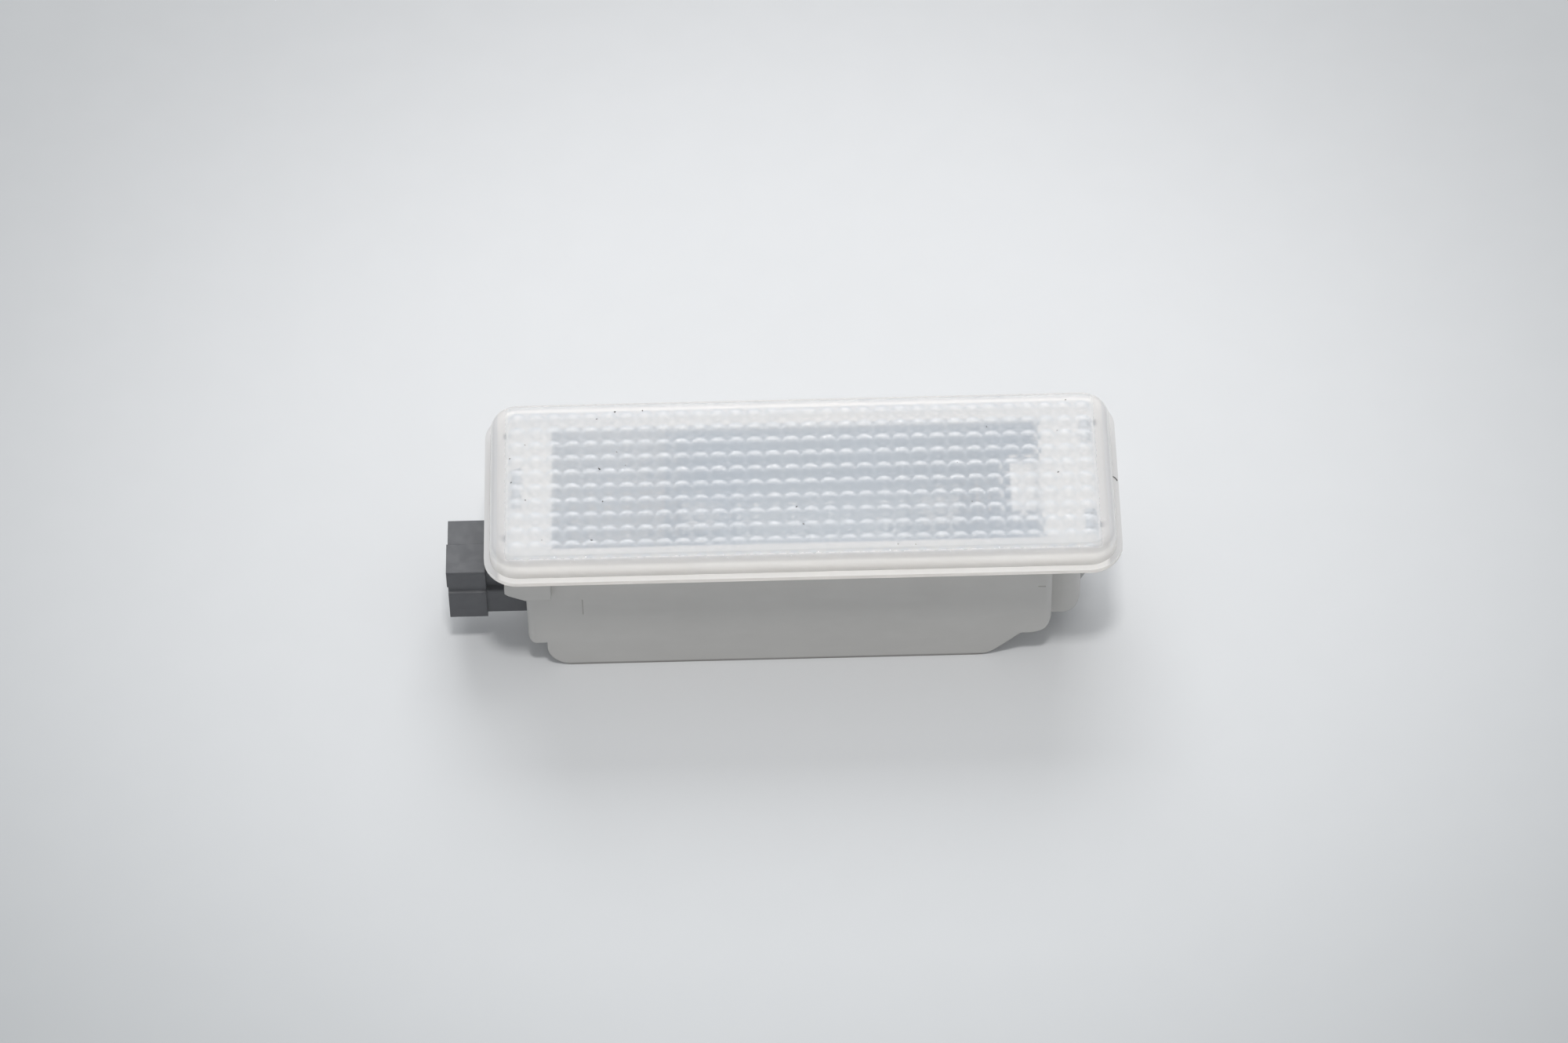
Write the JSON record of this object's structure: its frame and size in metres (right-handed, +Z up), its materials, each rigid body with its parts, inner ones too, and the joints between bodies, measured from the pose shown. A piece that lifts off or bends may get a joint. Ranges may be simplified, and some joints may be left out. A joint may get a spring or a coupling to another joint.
{
  "type": "car interior light",
  "caption": "Snap-in car interior light: frosted dimpled lens on a light grey housing with reflector, festoon bulb, contacts, steel clip and plug socket.",
  "frame": {"origin": "on the housing's flat bottom, under the middle of the lens", "axes": "+X along the lens from the plug socket to the steel clip, +Y to the back, +Z up out of the lens"},
  "size_m": [0.0852, 0.0278, 0.0235],
  "materials": {
    "housing_plastic": "fine satin moulding",
    "lens_plastic": "frosted translucent, dimples inside",
    "clip_steel": "rolled spring steel",
    "socket_plastic": "satin moulding",
    "strip_brass": "stamped",
    "spring_bronze": "stamped",
    "rivet_brass": "smooth",
    "tray_aluminium": "rolled sheet",
    "bulb_glass": "clear",
    "cap_nickel": "nickel plate",
    "lead_wire": "drawn wire",
    "filament_wire": "coiled wire"
  },
  "bodies": {
    "lamp_body": {"housing": "housing_plastic", "plug_socket": "socket_plastic", "contact_strip_short": "strip_brass", "contact_strip_long": "strip_brass", "contact_spring_left": "spring_bronze", "contact_spring_right": "spring_bronze", "contact_rivet_left": "rivet_brass", "contact_rivet_right": "rivet_brass", "reflector_tray": "tray_aluminium", "bulb_glass": "bulb_glass", "bulb_cap_left": "cap_nickel", "bulb_cap_right": "cap_nickel", "bulb_lead_left": "lead_wire", "bulb_lead_right": "lead_wire", "bulb_filament": "filament_wire"},
    "lens_cover": {"lens": "lens_plastic"},
    "clip": {"retaining_clip": "clip_steel"}
  },
  "joints": [
    {"name": "lens_lift", "type": "slide", "parent": "lamp_body", "child": "lens_cover", "axis": [0, 0, 1], "range_m": [0, 0.02]},
    {"name": "clip_flex", "type": "hinge", "parent": "lamp_body", "child": "clip", "pos_m": [0.0339, 0, 0.0063], "axis": [0, -1, 0], "range_deg": [0, 9], "stiffness_Nm_per_rad": 0.1}
  ]
}
